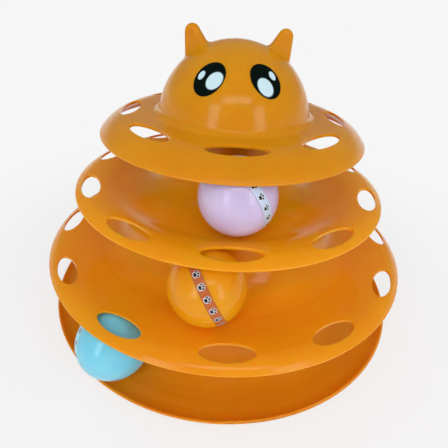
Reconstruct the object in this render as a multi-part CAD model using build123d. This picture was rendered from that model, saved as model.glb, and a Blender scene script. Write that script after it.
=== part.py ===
from build123d import *
import os
from math import asin, atan2, cos, degrees, hypot, radians, sin, sqrt, tan

# Three-storey ball track tower for cats: a dish, two track tiers and a top tier with an animal's head.
# Millimetres and degrees. The origin is on the table under the tower's axis, +Z is up, -Y is the front.

# Moulded shells
wall = 1.6
hub_draft = 8.0
crown_inner_corner = 1.0
track_play = 3.0

# Balls
ball_diameter = 42.0
ball_wall = 1.5
ball_clearance = 0.3
ball_headroom = 1.6
band_width = 5.0
band_thickness = 0.3
glue_line = 0.05
spigot_height = 2.5
spigot_wall = 1.0
spigot_clearance = 0.1

# Foot pads under the dish
pad_count = 6
pad_diameter = 14.0
pad_height = 2.0
pad_edge_radius = 0.5
pad_seat_height = 1.4
pad_seat_margin = 1.0

# Dish
dish_overhang = 1.4
dish_lip_width = 8.0
dish_lip_rise = 2.4
blue_orbit_inset = 3.1
blue_ball_angle = -35.3
blue_band_tilt = (29.2, -49.8)

# Lower tier
lower_rim_radius = 123.6
lower_roll_width = 10.0
lower_rim_gap = 0.8
lower_trough_depth = 1.7
lower_window_count = 12
lower_window_length = 29.2
lower_window_width = 11.0
orange_orbit_inset = 2.1
orange_ball_angle = -7.4
orange_band_tilt = (24.1, 13.3)

# Upper tier
upper_rim_step = 23.1
upper_roll_width = 9.5
upper_rim_gap = 1.6
upper_trough_depth = 5.3
upper_window_count = 10
upper_window_length = 31.5
upper_window_width = 11.3
pink_orbit_inset = 0.9
pink_ball_angle = 2.1
pink_band_tilt = (21.9, 42.2)

# Top tier with the head
top_headroom = 1.9
top_rim_step = 18.8
top_roll_width = 20.5
top_rim_gap = 1.6
top_brim_width = 34.7
top_window_inset = 17.5
top_window_count = 8
top_window_length = 32.4
top_window_width = 11.2
head_sink = 5.7
head_foot_radius = 5.0

# Ears, blunt hollow cones with a flattened front
ear_tip_radius = 4.4
ear_half_angle = 17.0
ear_lean = 17.0
ear_stand = 8.6
ear_tilt = 28.2
ear_length = 17.0
ear_wall = 1.6
ear_front_depth = 3.0
ear_front_turn = 18.0
ear_edge_radius = 1.8
ear_root_radius = 3.0

# Eye labels on the head, sized as shares of the head's radius and stuck on a little unevenly
eye_length_share = 0.428
eye_width_share = 0.338
eye_lean = 19.2
left_eye_azimuth = 25.5
left_eye_elevation = 40.8
right_eye_azimuth = 23.6
right_eye_elevation = 41.6
eye_thickness = 0.3

# Twist lock between the storeys
seat_height = 1.8
ledge_width = 6.0
shoulder_width = 4.0
lock_clearance = 0.4
lug_count = 3
lug_height = 2.0
lug_reach = 2.4
lug_sweep = 14.0
stop_sweep = 4.0
unlock_twist = 25.0
collar_height = 5.7
fin_count = 6
fin_thickness = 2.0
fin_height = 16.0

cut_overrun = 2.0


# Sections are drawn as (radius, height) points and turned about the tower's axis.
def on_circle(centre, radius, angle):
    return (centre[0] + radius * cos(radians(angle)), centre[1] + radius * sin(radians(angle)))


def straight(start, end):
    """A straight stretch of a shell: its outer points, and the same points one wall further in."""
    length = hypot(end[0] - start[0], end[1] - start[1])
    inward = (wall * (end[1] - start[1]) / length, -wall * (end[0] - start[0]) / length)
    return [start, end], [(r + inward[0], z + inward[1]) for r, z in (start, end)]


def bend(centre, radius, start_angle, end_angle):
    """A round stretch of a shell. A hollow bend, turning left, has its inner face further out."""
    turn = 1 if end_angle > start_angle else -1
    angles = (start_angle, (start_angle + end_angle) / 2, end_angle)
    outer = [on_circle(centre, radius, angle) for angle in angles]
    inner = [on_circle(centre, radius + turn * wall, angle) for angle in angles]
    return outer, inner


def section_edge(points):
    placed = [(r, 0, z) for r, z in points]
    return Line(*placed) if len(placed) == 2 else ThreePointArc(*placed)


def turned_shell(stretches):
    """Joins stretches into one section with a half-round free edge, and turns it about the axis."""
    first_outer, first_inner = stretches[0][0][0], stretches[0][1][0]
    last_outer, last_inner = stretches[-1][0][-1], stretches[-1][1][-1]
    across = (last_inner[0] - last_outer[0], last_inner[1] - last_outer[1])
    middle = ((last_outer[0] + last_inner[0]) / 2, (last_outer[1] + last_inner[1]) / 2)
    tip = (middle[0] - across[1] / 2, middle[1] + across[0] / 2)
    edges = [section_edge(outer) for outer, inner in stretches]
    edges.append(section_edge([last_outer, tip, last_inner]))
    edges += [section_edge(inner[::-1]) for outer, inner in reversed(stretches)]
    edges.append(section_edge([first_inner, first_outer]))
    return revolve(make_face(Curve() + edges), Axis.Z)


def turned(points, arc=360):
    """A closed outline of straight sides, turned about the axis."""
    outline = Polyline(*[(r, 0, z) for r, z in points], close=True)
    return revolve(make_face(outline), Axis.Z, revolution_arc=arc)


def roll_down(crest, rim_radius, drop):
    """The brim's edge: from a level crest it bends down to the rim's rounded edge."""
    reach = rim_radius - wall / 2 - crest[0]
    fall = drop - wall / 2
    middle_radius = (reach * reach + fall * fall) / (2 * fall)
    radius = middle_radius + wall / 2
    return bend((crest[0], crest[1] - radius), radius, 90, 90 - degrees(asin(reach / middle_radius)))


def trough_to_crest(trough, crest):
    """The track's outer side: a hollow bend and a round bend of one radius, level at both ends."""
    reach = crest[0] - trough[0]
    rise = crest[1] - trough[1]
    radius = (reach * reach + rise * rise) / (4 * rise)
    angle = degrees(asin(reach / (2 * radius)))
    hollow = bend((trough[0], trough[1] + radius), radius, -90, -90 + angle)
    rounded = bend((crest[0], crest[1] - radius), radius, 90 + angle, 90)
    return [hollow, rounded]


track_radius = ball_diameter / 2 + track_play
crown_corner = wall + crown_inner_corner


def hub_radius(orbit, floor, height):
    """Outer radius of the drafted hub wall at a height above the track's bend."""
    touch = on_circle((orbit, floor + track_radius), track_radius, 180 + hub_draft)
    return touch[0] - (height - touch[1]) * tan(radians(hub_draft))


def crown(orbit, floor, ledge):
    """The hub: a flat ledge, a round corner, the drafted wall and the bend into the ball track."""
    corner_end_height = ledge - crown_corner + crown_corner * sin(radians(hub_draft))
    corner_end = (hub_radius(orbit, floor, corner_end_height), corner_end_height)
    corner_centre = (corner_end[0] - crown_corner * cos(radians(hub_draft)), ledge - crown_corner)
    track_centre = (orbit, floor + track_radius)
    touch = on_circle(track_centre, track_radius, 180 + hub_draft)
    return [
        straight((opening_radius(orbit, floor, ledge), ledge), (corner_centre[0], ledge)),
        bend(corner_centre, crown_corner, 90, hub_draft),
        straight(corner_end, touch),
        bend(track_centre, track_radius, 180 + hub_draft, 270),
    ]


def opening_radius(orbit, floor, ledge):
    return hub_radius(orbit, floor, ledge) - ledge_width


def track_underside(orbit, floor, radius):
    """Height of the middle of the wall under a track's inner bend."""
    depth = (track_radius + wall / 2) ** 2 - (orbit - radius) ** 2
    return floor + track_radius - sqrt(depth)


# Heights and radii that follow from the sizes above, from the table upwards
dish_floor = pad_height + pad_seat_height + wall
ball_storey = ball_clearance + ball_diameter + ball_headroom + wall
lower_crest = dish_floor + ball_storey
lower_floor = lower_crest - lower_trough_depth
upper_crest = lower_floor + ball_storey
upper_floor = upper_crest - upper_trough_depth
plateau = upper_floor + ball_storey + top_headroom
head_centre = plateau - head_sink

dish_radius = lower_rim_radius + dish_overhang
upper_rim_radius = lower_rim_radius - upper_rim_step
top_rim_radius = upper_rim_radius - top_rim_step
head_radius = top_rim_radius - top_brim_width
eye_length = eye_length_share * head_radius
eye_width = eye_width_share * head_radius
lower_crest_radius = lower_rim_radius - lower_roll_width
upper_crest_radius = upper_rim_radius - upper_roll_width
plateau_radius = top_rim_radius - top_roll_width
top_window_radius = top_rim_radius - top_window_inset
foot_height = plateau + head_foot_radius - head_centre
foot_radius = sqrt((head_radius + head_foot_radius) ** 2 - foot_height ** 2)

blue_orbit = lower_crest_radius - blue_orbit_inset
orange_orbit = upper_crest_radius - orange_orbit_inset
pink_orbit = top_window_radius - pink_orbit_inset


def hanging_drop(crest, rim_radius, orbit, floor, gap):
    """How far a rim's rounded edge hangs below its crest, so that it clears the ball under it by the gap."""
    away = ball_diameter / 2 + wall / 2 + gap
    beside = rim_radius - wall / 2 - orbit
    ball_centre = floor + ball_clearance + ball_diameter / 2
    return crest - ball_centre - sqrt(away * away - beside * beside)


lower_rim_drop = hanging_drop(lower_crest, lower_rim_radius, blue_orbit, dish_floor, lower_rim_gap)
upper_rim_drop = hanging_drop(upper_crest, upper_rim_radius, orange_orbit, lower_floor, upper_rim_gap)
top_rim_drop = hanging_drop(plateau, top_rim_radius, pink_orbit, upper_floor, top_rim_gap)

dish_ledge = lower_floor - wall - seat_height
lower_ledge = upper_floor - wall - seat_height
upper_ledge = plateau - wall - seat_height
dish_opening = opening_radius(blue_orbit, dish_floor, dish_ledge)
lower_opening = opening_radius(orange_orbit, lower_floor, lower_ledge)
upper_opening = opening_radius(pink_orbit, upper_floor, upper_ledge)


# Twist lock: lugs on the collar of the storey above hook under the ledge of the storey below.
def around(shape, count, offset=0):
    return [Rot(0, 0, offset + index * 360 / count) * shape for index in range(count)]


def ring_block(inner, outer, bottom, top, start_angle, arc):
    corners = [(inner, bottom), (outer, bottom), (outer, top), (inner, top)]
    return Rot(0, 0, start_angle) * turned(corners, arc)


def lock_collar(opening, ledge, inner_top, outer_top):
    """A ring that rests on the ledge with its shoulder and reaches through the opening with its lugs."""
    tube = opening - lock_clearance
    lug_top = ledge - wall - lock_clearance
    bottom = lug_top - lug_height
    shoulder = opening + shoulder_width
    ring = turned([
        (tube - wall, bottom), (tube, bottom), (tube, ledge), (shoulder, ledge),
        (shoulder, outer_top), (tube - wall, inner_top),
    ])
    lug = ring_block(tube - wall / 2, tube + lug_reach, bottom, lug_top, -lug_sweep / 2, lug_sweep)
    return ring + around(lug, lug_count, 90)


def lock_ledge(shell, opening, ledge):
    """Adds the stops that end the twist under the ledge, and cuts the lugs' way in through the ledge."""
    clearance_angle = degrees(lock_clearance / opening)
    half_lug = lug_sweep / 2 + clearance_angle
    stop_bottom = ledge - wall - lock_clearance - lug_height
    for start in (-half_lug - stop_sweep, unlock_twist + half_lug + clearance_angle):
        stop = ring_block(
            opening + lock_clearance, opening + lug_reach + lock_clearance, stop_bottom, ledge - wall / 2,
            start, stop_sweep)
        shell += around(stop, lug_count, 90)
    notch = ring_block(
        opening - cut_overrun, opening + lug_reach, ledge - wall - cut_overrun, ledge + cut_overrun,
        unlock_twist - half_lug, 2 * half_lug)
    return shell - around(notch, lug_count, 90)


def windows(count, radius, height, length, width, depth):
    """Oval sight holes in a ring through a brim, with one of them at the front."""
    oval = Pos(0, -radius, height) * Ellipse(length / 2, width / 2)
    return around(extrude(oval, depth, both=True), count)


def seam_between_windows(shell, count):
    """Turns a round shell so that its seam runs midway between the front sight hole and the next."""
    return Rot(0, 0, 180 / count - 90) * shell


# Dish: the bottom storey, a shallow round dish whose hub carries the tower.
def make_dish():
    trough = (blue_orbit, dish_floor)
    lip_start = (dish_radius - dish_lip_width, dish_floor)
    reach = dish_lip_width - wall / 2
    middle_radius = (reach * reach + dish_lip_rise ** 2) / (2 * dish_lip_rise)
    radius = middle_radius - wall / 2
    lip = bend((lip_start[0], dish_floor + radius), radius, -90, -90 + degrees(asin(reach / middle_radius)))
    shell = turned_shell(crown(blue_orbit, dish_floor, dish_ledge) + [straight(trough, lip_start), lip])
    seat_depth = dish_floor - wall / 2 - pad_height
    seat = Cylinder(pad_diameter / 2 + pad_seat_margin, seat_depth)
    seat = Pos(blue_orbit, 0, pad_height + seat_depth / 2) * seat
    shell += around(seat, pad_count, 180 / pad_count)
    return lock_ledge(shell, dish_opening, dish_ledge)


def make_pad(index):
    pad = Pos(blue_orbit, 0, pad_height / 2) * Cylinder(pad_diameter / 2, pad_height)
    lower_rim = pad.edges().sort_by(Axis.Z)[0]
    pad = fillet(lower_rim, pad_edge_radius)
    return Rot(0, 0, (index + 1 / 2) * 360 / pad_count) * pad


# Tiers: a brim with oval sight holes, a ball track and a hub, hooked onto the storey below.
def make_tier(orbit, floor, ledge, crest, rim_radius, drop, window, below):
    shell = turned_shell(
        crown(orbit, floor, ledge)
        + trough_to_crest((orbit, floor), crest)
        + [roll_down(crest, rim_radius, drop)])
    count, length, width = window
    shell = seam_between_windows(shell, count)
    shell = lock_ledge(shell, opening_radius(orbit, floor, ledge), ledge)
    opening_below, ledge_below = below
    inner_top = track_underside(orbit, floor, opening_below - lock_clearance - wall)
    outer_top = track_underside(orbit, floor, opening_below + shoulder_width)
    shell += lock_collar(opening_below, ledge_below, inner_top, outer_top)
    return shell - windows(count, crest[0], crest[1], length, width, drop + wall)


# Top tier: a brim with sight holes and the head, moulded in one, with fins and a collar inside the head.
def ear_cone(tip_radius, front_depth, length):
    """A blunt cone about +Z with its tip ball at the origin, its seam at the back and its front cut flat."""
    touch = (tip_radius * cos(radians(ear_half_angle)), tip_radius * sin(radians(ear_half_angle)))
    base_radius = touch[0] + (length + touch[1]) * tan(radians(ear_half_angle))
    round_middle = on_circle((0, 0), tip_radius, (ear_half_angle + 90) / 2)
    edges = [
        section_edge([(0, -length), (base_radius, -length)]),
        section_edge([(base_radius, -length), touch]),
        section_edge([touch, round_middle, (0, tip_radius)]),
        section_edge([(0, tip_radius), (0, -length)]),
    ]
    cone = Rot(0, 0, 90) * revolve(make_face(Curve() + edges), Axis.Z)
    block = 2 * (base_radius + length)
    return cone - Pos(0, -front_depth - block / 2, 0) * Box(block, block, block)


def round_ear(ear):
    """Rounds the rim of an ear's flat front, but for its bottom edge."""
    front = ear.faces().sort_by(Axis.Y)[0]
    return fillet(front.edges().sort_by(Axis.Z)[1:], ear_edge_radius)


def soften_ear_roots(shell):
    """Rounds the corner all round each ear's root, whose edges lie on the head's ball."""
    middle = Vector(0, 0, head_centre)
    highest = head_centre + head_radius * cos(radians(ear_tilt))

    def on_head(edge):
        return all(abs((edge @ share - middle).length - head_radius) < glue_line for share in (0, 1 / 2, 1))

    roots = [edge for edge in shell.edges()
             if on_head(edge) and abs((edge @ (1 / 2)).Y) < ear_length
             and abs((edge @ (1 / 2)).Z - highest) < ear_length]
    return fillet(roots, ear_root_radius)


def ear_place(side):
    """Where an ear's tip ball sits: out from the head's centre, and the way that the ear leans."""
    out = (head_radius + ear_stand) * sin(radians(ear_tilt))
    up = (head_radius + ear_stand) * cos(radians(ear_tilt))
    tip = Pos(side * out, 0, head_centre + up)
    return tip * Rot(0, side * ear_lean, 0) * Rot(0, 0, side * ear_front_turn)


def make_top_tier():
    head_middle = (0, head_centre)
    foot_centre = (foot_radius, plateau + head_foot_radius)
    foot_angle = degrees(atan2(foot_height, foot_radius))
    crest = (plateau_radius, plateau)
    shell = turned_shell([
        bend(head_middle, head_radius, 90, foot_angle),
        bend(foot_centre, head_foot_radius, 180 + foot_angle, 270),
        straight((foot_radius, plateau), crest),
        roll_down(crest, top_rim_radius, top_rim_drop),
    ])
    shell = seam_between_windows(shell, top_window_count)
    fin_start = upper_opening - lock_clearance - wall / 2
    fin_length = head_radius - fin_start
    fin = Pos(fin_start + fin_length / 2, 0, upper_ledge + wall + fin_height / 2)
    fin = fin * Box(fin_length, fin_thickness, fin_height)
    head_core = Pos(0, 0, head_centre) * Sphere(head_radius - wall / 2)
    for each in around(fin, fin_count, 180 / fin_count):
        shell += each & head_core
    collar_top = upper_ledge + collar_height
    shell += lock_collar(upper_opening, upper_ledge, collar_top, collar_top)
    shell -= windows(top_window_count, top_window_radius, plateau, top_window_length, top_window_width,
                     top_rim_drop + wall)
    head_hollow = Pos(0, 0, head_centre) * Sphere(head_radius - wall)
    for side in (-1, 1):
        ear = round_ear(ear_cone(ear_tip_radius, ear_front_depth, ear_length))
        shell += ear_place(side) * ear - head_hollow
    shell = soften_ear_roots(shell)
    for side in (-1, 1):
        shell -= ear_place(side) * ear_cone(ear_tip_radius - ear_wall, ear_front_depth - ear_wall, ear_length)
    return shell


def make_eye(side, azimuth, elevation):
    """A thin oval label that follows the head's curve, its top leaning towards the middle."""
    inner = Sphere(head_radius + glue_line)
    outer = Sphere(head_radius + glue_line + eye_thickness)
    oval = Rot(0, 0, side * eye_lean) * Ellipse(eye_width / 2, eye_length / 2)
    punch = extrude(oval, head_radius + eye_length)
    label = (outer - inner) & punch
    facing = Rot(0, 0, side * azimuth) * Rot(90 - elevation, 0, 0)
    return Pos(0, 0, head_centre) * facing * label


# Balls: two half shells that plug into each other, with a bare label band round the seam.
def ball_place(orbit, floor, angle, tilt):
    """A ball's centre on its track, with the way that the normal of its band points as +Z."""
    height = floor + ball_clearance + ball_diameter / 2
    elevation, azimuth = tilt
    centre = (orbit * sin(radians(angle)), -orbit * cos(radians(angle)), height)
    return Pos(*centre) * Rot(0, 0, azimuth) * Rot(0, 90 - elevation, 0)


def ball_skin(outer_radius, thickness):
    return Sphere(outer_radius) - Sphere(outer_radius - thickness)


def make_half_shell(with_spigot):
    radius = ball_diameter / 2
    skin = ball_skin(radius, ball_wall)
    groove = ball_skin(radius + cut_overrun, cut_overrun + band_thickness + glue_line)
    slab = Cylinder(ball_diameter, band_width + 2 * glue_line)
    half = Pos(0, 0, -ball_diameter / 2) * Cylinder(ball_diameter, ball_diameter)
    shell = (skin - (groove & slab)) & half
    seam_radius = sqrt((radius - ball_wall) ** 2 - spigot_height ** 2)
    if with_spigot:
        outer = seam_radius - spigot_clearance
        ring = Cylinder(outer, 2 * spigot_height) - Cylinder(outer - spigot_wall, 2 * spigot_height)
        foot = Pos(0, 0, -spigot_height) * Cylinder(radius - ball_wall / 2, spigot_height)
        foot -= Cylinder(outer - spigot_wall, ball_diameter)
        shell += ring
        shell += foot & Sphere(radius - ball_wall / 2)
    return shell


def make_band():
    radius = ball_diameter / 2
    return ball_skin(radius, band_thickness) & Cylinder(ball_diameter, band_width)


def make_ball(name, orbit, floor, angle, tilt):
    place = ball_place(orbit, floor, angle, tilt)
    return {
        name + "_ball_half_a": place * make_half_shell(True),
        name + "_ball_half_b": place * Rot(180, 0, 0) * make_half_shell(False),
        name + "_ball_band": place * make_band(),
    }


nodes = {"base_dish": make_dish()}
for index in range(pad_count):
    nodes["foot_pad_" + str(index + 1)] = make_pad(index)
nodes["lower_tier"] = make_tier(
    orange_orbit, lower_floor, lower_ledge,
    (lower_crest_radius, lower_crest), lower_rim_radius, lower_rim_drop,
    (lower_window_count, lower_window_length, lower_window_width), (dish_opening, dish_ledge))
nodes["upper_tier"] = make_tier(
    pink_orbit, upper_floor, upper_ledge,
    (upper_crest_radius, upper_crest), upper_rim_radius, upper_rim_drop,
    (upper_window_count, upper_window_length, upper_window_width), (lower_opening, lower_ledge))
nodes["top_tier"] = make_top_tier()
nodes["left_eye_label"] = make_eye(-1, left_eye_azimuth, left_eye_elevation)
nodes["right_eye_label"] = make_eye(1, right_eye_azimuth, right_eye_elevation)
nodes.update(make_ball("blue", blue_orbit, dish_floor, blue_ball_angle, blue_band_tilt))
nodes.update(make_ball("orange", orange_orbit, lower_floor, orange_ball_angle, orange_band_tilt))
nodes.update(make_ball("pink", pink_orbit, upper_floor, pink_ball_angle, pink_band_tilt))

os.makedirs("parts", exist_ok=True)
for name, shape in nodes.items():
    export_step(shape, "parts/" + name + ".step")
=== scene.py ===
"""Cat ball track toy: three ball tracks with an animal's head on top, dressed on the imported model."""

import math

import bpy
import numpy as np
from mathutils import Matrix, Vector


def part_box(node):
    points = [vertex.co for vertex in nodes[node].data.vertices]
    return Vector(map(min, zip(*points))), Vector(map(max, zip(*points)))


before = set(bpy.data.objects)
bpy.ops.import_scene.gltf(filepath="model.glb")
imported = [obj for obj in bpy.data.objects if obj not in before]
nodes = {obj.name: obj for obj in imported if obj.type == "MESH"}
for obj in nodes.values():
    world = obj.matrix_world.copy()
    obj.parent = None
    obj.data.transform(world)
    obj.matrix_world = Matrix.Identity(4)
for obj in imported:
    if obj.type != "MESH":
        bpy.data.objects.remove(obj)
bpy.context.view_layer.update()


# The base dish is the bottom storey, one injection moulding in glossy orange plastic. Its floor is the
# widest track, where the rolling ball leaves faint rings, and the claws of its user dull the outer edge.
class Tone:
    """A number, colour or vector that changes over a surface; sums and products on it add Math nodes."""

    def __init__(self, tree, socket=None):
        self.tree = tree
        self.socket = socket

    def node(self, kind, settings=None, inputs=None, output=0):
        """A node of this kind: its settings are set first, then the values or links of its sockets."""
        made = self.tree.nodes.new(kind)
        for name, value in (settings or {}).items():
            setattr(made, name, value)
        for name, value in (inputs or {}).items():
            if isinstance(value, Tone):
                self.tree.links.new(value.socket, made.inputs[name])
            else:
                made.inputs[name].default_value = value
        return Tone(self.tree, made.outputs[output] if made.outputs else None)

    def math(self, operation, *terms):
        return self.node("ShaderNodeMath", {"operation": operation}, dict(enumerate(terms)))

    def __add__(self, other):
        return self.math("ADD", self, other)

    def __sub__(self, other):
        return self.math("SUBTRACT", self, other)

    def __rsub__(self, other):
        return self.math("SUBTRACT", other, self)

    def __mul__(self, other):
        return self.math("MULTIPLY", self, other)

    def __truediv__(self, other):
        return self.math("DIVIDE", self, other)

    def __pow__(self, other):
        return self.math("POWER", self, other)

    __radd__ = __add__
    __rmul__ = __mul__

    def along(self, direction):
        """How far this vector reaches along a direction."""
        settings = {"operation": "DOT_PRODUCT"}
        return self.node("ShaderNodeVectorMath", settings, {0: self, 1: direction}, "Value")

    def step(self, low, high):
        """Rises smoothly from 0 to 1 as this number goes from low to high."""
        settings = {"interpolation_type": "SMOOTHSTEP"}
        return self.node("ShaderNodeMapRange", settings, {"Value": self, "From Min": low, "From Max": high})

    def blend(self, first, second):
        """The first colour where this number is 0, the second where it is 1."""
        return self.node("ShaderNodeMix", {"data_type": "RGBA"}, {0: self, 6: first, 7: second}, 2)

    def noise(self, scale, detail=2.0):
        return self.node("ShaderNodeTexNoise", inputs={"Vector": self, "Scale": scale, "Detail": detail})

    def bump(self, depth, strength):
        """The normal of a surface that this number, from 0 to 1, raises by up to the depth."""
        inputs = {"Height": self, "Distance": depth, "Strength": strength}
        return self.node("ShaderNodeBump", inputs=inputs, output="Normal")


def new_finish(name):
    """An empty material, and the place on its piece in metres."""
    material = bpy.data.materials.new(name)
    material.use_nodes = True
    material.node_tree.nodes.clear()
    return material, Tone(material.node_tree).node("ShaderNodeTexCoord", output="Object")


def shade(place, sockets):
    """Closes a material with one Principled shader."""
    shader = place.node("ShaderNodeBsdfPrincipled", inputs=sockets)
    place.node("ShaderNodeOutputMaterial", inputs={"Surface": shader})


def dress(material, *names):
    """Puts a material on CAD nodes."""
    for name in names:
        nodes[name].data.materials.clear()
        nodes[name].data.materials.append(material)


cloud_scale = 24
rings_per_metre = 800
run_fade = (0.004, 0.016)
edge_width = 0.003
peel_scale = 700
peel_depth = 0.00012
scuffed_orange = (0.84, 0.40, 0.05, 1)


def moulded_orange(name, red, green, shift, run_radius, edge_radius):
    """Orange plastic: pigment clouds, rings worn by the ball at run_radius, a dull edge at edge_radius."""
    # red and green differ from piece to piece, though all are one orange plastic: lit and shaded copies,
    # painted light and painted shade.
    light = (red, green, 0.007, 1)
    deep = (red * 0.94, green * 0.88, 0.005, 1)
    material, place = new_finish(name)
    x = place.along((1, 0, 0))
    y = place.along((0, 1, 0))
    z = place.along((0, 0, 1))
    radius = (x * x + y * y) ** 0.5
    moved = place.node("ShaderNodeVectorMath", {"operation": "ADD"}, {0: place, 1: shift})
    clouds = moved.noise(cloud_scale, 3).step(0.3, 0.7)
    ring = {0: x / radius * 2, 1: y / radius * 2, 2: (radius + z) * rings_per_metre}
    rings = place.node("ShaderNodeCombineXYZ", inputs=ring).noise(1, 3).step(0.42, 0.72)
    astray = radius - run_radius
    run = 1 - astray.math("ABSOLUTE", astray).step(*run_fade)
    worn = rings * run
    edge = radius.step(edge_radius - edge_width, edge_radius)
    peel = moved.noise(peel_scale, 2)
    rough = 0.11 + clouds * 0.04 + worn * 0.10 + edge * peel * 0.16
    colour = (clouds * 0.75).blend(deep, light)
    colour = (worn * 0.16 + edge * peel * 0.16).blend(colour, scuffed_orange)
    shade(place, {
        "Base Color": colour, "Roughness": rough, "IOR": 1.49, "Specular IOR Level": 0.20,
        "Subsurface Weight": 0.95, "Subsurface Radius": (1.0, 0.35, 0.05), "Subsurface Scale": 0.003,
        "Normal": (peel * 0.8 + worn * 0.2).bump(peel_depth, 0.25),
    })
    return material


dish_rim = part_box("base_dish")[1].x
blue_run = 0.1105
# The dish's orange is darker and redder than the storeys': painted shade, for the shadow of the lowest brim
# over it.
dress(moulded_orange("dish_orange_painted_shade", 0.80, 0.300, (0.3, 0.1, 0.2), blue_run, dish_rim), "base_dish")


# Six round pads of dark foam rubber sit in the dish's underside and keep the toy from sliding on the
# floor. They are punched from sheet, so the cells show as fine pits.
foot_rubber, place = new_finish("foot_rubber")
pits = place.node("ShaderNodeTexVoronoi", inputs={"Vector": place, "Scale": 1400.0})
dust = place.noise(300, 3).step(0.45, 0.75)
shade(place, {
    "Base Color": dust.blend((0.018, 0.018, 0.019, 1), (0.05, 0.048, 0.045, 1)),
    "Roughness": 0.82 + dust * 0.1,
    "Normal": pits.bump(0.0002, 0.5),
})
dress(foot_rubber, *[f"foot_pad_{count}" for count in range(1, 7)])


# Two storeys of the same orange plastic, each one moulding of brim, track and hub. The brim roofs the track
# below, and oval sight holes go through it; the collar under the hub twists into the storey below.
lower_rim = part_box("lower_tier")[1].x
upper_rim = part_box("upper_tier")[1].x
orange_run = 0.0889
pink_run = 0.0633
# Both storeys get a lighter orange than the dish and the head, the upper one lightest: painted light, for
# the light that the thin brims pass and bounce.
dress(moulded_orange("lower_orange_painted_light", 0.90, 0.365, (0.7, 0.4, 0.0), orange_run, lower_rim), "lower_tier")
dress(moulded_orange("upper_orange_painted_light", 0.93, 0.395, (0.2, 0.9, 0.5), pink_run, upper_rim), "upper_tier")


# The top storey is brim, neck and head in one moulding, with two ears drawn up from the crown of the
# head. No ball runs on it, so only its edge is dulled.
top_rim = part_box("top_tier")[1].x
beyond_rim = 0.5
# The top moulding gets a darker orange than the storeys: painted shade on the closed head and its brim.
dress(moulded_orange("head_orange_painted_shade", 0.74, 0.320, (0.5, 0.6, 0.8), beyond_rim, top_rim), "top_tier")


# The eyes are oval labels of black film with two light glints each, printed, laminated and stuck on the
# head. They follow the head's round, and lean with their tops towards each other.
head_middle = Vector((0, 0, 0.1307))
head_radius = 0.0470
big_glint = (5.3, 4.1, 24)
small_glint = (2.7, 1.75, 14)
left_glints = [((3.34, -0.88), big_glint), ((-4.76, 1.09), small_glint)]
right_glints = [((-1.28, -3.70), big_glint), ((4.32, 2.50), small_glint)]
glint_white = (0.62, 0.82, 0.89, 1)


def eye_film(name, side, azimuth, elevation, glints):
    """Black film; a glint is an ellipse in the plane that touches the head at the eye's middle."""
    turn = side * math.radians(azimuth)
    height = math.radians(elevation)
    out = Vector((math.cos(height) * math.sin(turn), -math.cos(height) * math.cos(turn), math.sin(height)))
    right = Vector((math.cos(turn), math.sin(turn), 0))
    up = out.cross(right)
    middle = head_middle + head_radius * out
    material, place = new_finish(name)
    lit = None
    for (across, rise), (half_length, half_width, lean) in glints:
        tilt = -side * math.radians(lean)
        long_way = up * math.cos(tilt) + right * math.sin(tilt)
        short_way = right * math.cos(tilt) - up * math.sin(tilt)
        spot = middle + (right * across + up * rise) / 1000
        length = (place.along(long_way) - spot.dot(long_way)) / (half_length / 1000)
        width = (place.along(short_way) - spot.dot(short_way)) / (half_width / 1000)
        inside = 1 - (length * length + width * width).step(0.78, 1.12)
        lit = inside if lit is None else lit.math("MAXIMUM", lit, inside)
    grain = place.noise(900, 2)
    ink = grain.step(0.3, 0.8).blend((0.0016, 0.0050, 0.0040, 1), (0.0028, 0.0074, 0.0060, 1))
    shade(place, {
        "Base Color": lit.blend(ink, glint_white),
        "Roughness": 0.22 + grain * 0.10, "IOR": 1.5, "Specular IOR Level": 0.04,
        "Normal": grain.bump(0.00004, 0.2),
    })
    return material


dress(eye_film("left_eye_film", -1, 25.5, 40.8, left_glints), "left_eye_label")
dress(eye_film("right_eye_film", 1, 23.6, 41.6, right_glints), "right_eye_label")


# Three light hollow balls, one in each track: two moulded half shells that plug together under a printed
# band of film. The band's print is a plain row of paw marks with a pale edge.
ball_radius = 0.021
paw_pitch = 0.0066
paw_marks = [((0.0, -0.75), (1.15, 0.85)), ((-1.2, 0.45), (0.48, 0.62)), ((0.0, 1.0), (0.5, 0.68)),
             ((1.2, 0.45), (0.48, 0.62))]
ball_colours = {
    "blue": ((0.20, 0.65, 0.93, 1), (0.24, 0.71, 0.97, 1), (0.34, 0.76, 0.94, 1)),
    "orange": ((0.90, 0.30, 0.004, 1), (0.95, 0.35, 0.006, 1), (0.50, 0.120, 0.030, 1)),
    "pink": ((0.68, 0.52, 0.78, 1), (0.74, 0.58, 0.84, 1), (0.57, 0.66, 0.84, 1)),
}
ball_spreads = {"blue": (1.0, 0.8, 0.8), "orange": (1.0, 0.35, 0.05), "pink": (1.5, 0.7, 0.6)}
ball_gloss = {"blue": 0.4, "orange": 0.22, "pink": 0.4}
# The pink ball's sheen, tinted salmon, is a painted reflection of the orange track's light round the ball's
# edge.
ball_sheen = {"blue": 0.0, "orange": 0.0, "pink": 0.45}
painted_bounce_tint = (1.0, 0.40, 0.32, 1)
paw_black = (0.012, 0.014, 0.02, 1)
paw_edge = (0.80, 0.84, 0.88, 1)
band_tilts = {"blue": (29.2, -49.8), "orange": (24.1, 13.3), "pink": (21.9, 42.2)}


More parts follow.
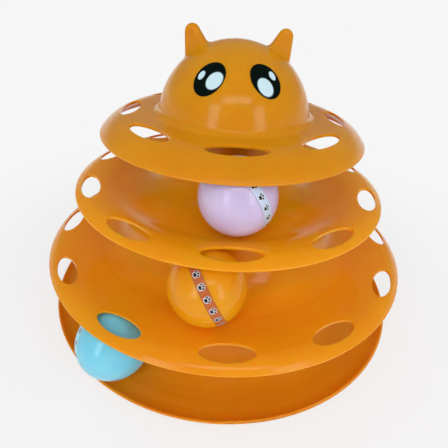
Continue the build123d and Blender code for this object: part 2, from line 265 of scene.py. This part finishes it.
def ball_plastic(colour, deep, light):
    """Glossy coloured plastic with faint clouds and fine scuffs from rolling."""
    material, place = new_finish(f"{colour}_ball_plastic")
    clouds = place.noise(60, 3).step(0.3, 0.7)
    scuffs = place.noise(420, 4).step(0.55, 0.8)
    shade(place, {
        "Base Color": clouds.blend(deep, light),
        "Roughness": 0.14 + clouds * 0.04 + scuffs * 0.14,
        "IOR": 1.49, "Specular IOR Level": ball_gloss[colour],
        # The sheen is a painted reflection: a salmon glow at the edges for light bounced from the orange
        # track.
        "Sheen Weight": ball_sheen[colour], "Sheen Roughness": 0.3, "Sheen Tint": painted_bounce_tint,
        "Subsurface Weight": 0.7, "Subsurface Radius": ball_spreads[colour], "Subsurface Scale": 0.004,
        "Normal": scuffs.bump(0.00005, 0.2),
    })
    return material


def ball_film(colour, film):
    """A strip round the ball with paw marks: each mark is a few ovals, repeated along the strip."""
    low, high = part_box(f"{colour}_ball_band")
    middle = (low + high) / 2
    lean, turn = (math.radians(angle) for angle in band_tilts[colour])
    axis = Vector((math.cos(lean) * math.cos(turn), math.cos(lean) * math.sin(turn), math.sin(lean)))
    first = axis.cross(Vector((0, 0, 1))).normalized()
    second = axis.cross(first)
    material, place = new_finish(f"{colour}_ball_film")
    sideways = place.along(first) - middle.dot(first)
    onwards = place.along(second) - middle.dot(second)
    height = (place.along(axis) - middle.dot(axis)) * 1000
    count = round(math.tau * ball_radius / paw_pitch)
    turns = onwards.math("ARCTAN2", onwards, sideways) * (count / math.tau)
    step = (turns.math("FRACT", turns) - 0.5) * (paw_pitch * 1000)
    nearest = None
    for (across, rise), (half_width, half_height) in paw_marks:
        width = (step - across) / half_width
        reach = (height - rise) / half_height
        distance = width * width + reach * reach
        nearest = distance if nearest is None else nearest.math("MINIMUM", nearest, distance)
    ink = 1 - nearest.step(0.75, 1.1)
    edge = 1 - nearest.step(1.6, 2.3)
    grain = place.noise(800, 2)
    pale = grain.step(0.3, 0.8).blend(film, tuple(min(1.0, part * 1.1) for part in film))
    paper = (edge * 0.8).blend(pale, paw_edge)
    shade(place, {
        "Base Color": ink.blend(paper, paw_black),
        "Roughness": 0.24 + grain * 0.12, "IOR": 1.5, "Specular IOR Level": 0.3,
        "Normal": grain.bump(0.00003, 0.2),
    })
    return material


for colour, (deep, light, film) in ball_colours.items():
    dress(ball_plastic(colour, deep, light), f"{colour}_ball_half_a", f"{colour}_ball_half_b")
    dress(ball_film(colour, film), f"{colour}_ball_band")


# The floor is a plain sheet of pale matt paper, as in a photographer's studio. It takes the toy's soft
# shadow and fades into the white round it.
floor_half = 4.0
floor_drop = 0.0001
white = 0.922
near_glow = 0.70


def flat_sheet(half):
    """A square grid of points just under the pads, half a side from its middle to each edge."""
    cells = 8
    row = cells + 1
    line = np.linspace(-half, half, row)
    across, along = np.meshgrid(line, line)
    points = np.stack([across.ravel(), along.ravel(), np.full(across.size, -floor_drop)], axis=1)
    start = (np.arange(cells)[:, None] * row + np.arange(cells)[None, :]).ravel()
    faces = np.stack([start, start + 1, start + row + 1, start + row], axis=1)
    mesh = bpy.data.meshes.new("floor")
    mesh.from_pydata(points.tolist(), [], faces.tolist())
    return mesh


floor = bpy.data.objects.new("floor", flat_sheet(floor_half))
bpy.context.scene.collection.objects.link(floor)
floor_paint, place = new_finish("floor_paint")
distance = (place.along((1, 0, 0)) ** 2 + place.along((0, 1, 0)) ** 2) ** 0.5
far = distance.step(0.14, 0.36)
seen = place.node("ShaderNodeLightPath", output="Is Camera Ray")
mirrored = place.node("ShaderNodeLightPath", output="Is Glossy Ray")
glowing = (near_glow + far * (1 - near_glow)) * seen.math("MAXIMUM", seen, mirrored)
speck = place.noise(220, 2)
matt = place.node("ShaderNodeBsdfPrincipled", inputs={
    "Base Color": speck.blend((0.86, 0.86, 0.86, 1), (0.88, 0.88, 0.88, 1)), "Roughness": 0.9,
})
paper = far.blend((1, 1, 1, 1), (white, white, white, 1))
glow = place.node("ShaderNodeEmission", inputs={"Color": paper, "Strength": 1.0})
mixed = place.node("ShaderNodeMixShader", inputs={0: glowing, 1: matt, 2: glow})
place.node("ShaderNodeOutputMaterial", inputs={"Surface": mixed})
floor.data.materials.append(floor_paint)


# Soft studio light: an even room with a white backdrop all round and a grey ceiling, and three
# window-like panels round the camera, left, right and above.
room_level = 0.52
ceiling_level = 0.30
room = bpy.data.worlds.new("room")
bpy.context.scene.world = room
room.use_nodes = True
room.node_tree.nodes.clear()
air = Tone(room.node_tree)
seen = air.node("ShaderNodeLightPath", output="Is Camera Ray")
mirrored = air.node("ShaderNodeLightPath", output="Is Glossy Ray")
through = air.node("ShaderNodeLightPath", output="Is Transmission Ray")
shown = seen.math("MAXIMUM", seen.math("MAXIMUM", seen, mirrored), through)
ceiling = air.node("ShaderNodeTexCoord", output="Generated").along((0, 0, 1)).step(0.04, 0.26)
level = shown * (white - room_level) + mirrored * ceiling * (ceiling_level - white) + room_level
backdrop = air.node("ShaderNodeBackground", inputs={"Color": (1, 1, 1, 1), "Strength": level})
air.node("ShaderNodeOutputWorld", inputs={"Surface": backdrop})


def light_panel(name, place, width, height, radiance):
    """A rectangular lamp that faces the toy's middle; its power is radiance times area times pi."""
    lamp = bpy.data.lights.new(name, "AREA")
    lamp.shape = "RECTANGLE"
    lamp.size = width
    lamp.size_y = height
    lamp.energy = radiance * width * height * math.pi
    panel = bpy.data.objects.new(name, lamp)
    bpy.context.scene.collection.objects.link(panel)
    facing = (Vector((0, 0, 0.10)) - Vector(place)).to_track_quat("-Z", "Y")
    panel.matrix_world = Matrix.LocRotScale(Vector(place), facing, None)


light_panel("left_window", (-0.52, -0.82, 0.42), 0.26, 0.64, 4.0)
light_panel("right_window", (0.58, -0.78, 0.42), 0.26, 0.64, 3.7)
light_panel("high_window", (0.03, -0.70, 0.82), 0.70, 0.16, 4.0)


# The camera is a hand-held one with a wide lens, like that of a phone. It stands close in front of the toy
# and a little above its head, and is held a little askew.
camera_place = Vector((-0.00984, -0.22832, 0.19802))
camera_down = math.radians(32.484)
camera_turn = math.radians(2.045)
camera_roll = math.radians(3.696)
level_reach = math.cos(camera_down)
ahead = Vector((math.sin(camera_turn) * level_reach, math.cos(camera_turn) * level_reach,
                -math.sin(camera_down)))
level_right = ahead.cross(Vector((0, 0, 1))).normalized()
level_up = level_right.cross(ahead)
right = level_right * math.cos(camera_roll) + level_up * math.sin(camera_roll)
up = level_up * math.cos(camera_roll) - level_right * math.sin(camera_roll)
eye = bpy.data.cameras.new("camera")
eye.sensor_width = 36.0
eye.lens = 28.87
eye.clip_start = 0.01
camera = bpy.data.objects.new("camera", eye)
bpy.context.scene.collection.objects.link(camera)
turned = Matrix((right, up, -ahead)).transposed()
camera.matrix_world = Matrix.Translation(camera_place) @ turned.to_4x4()
bpy.context.scene.camera = camera
bpy.context.scene.view_settings.view_transform = "Standard"
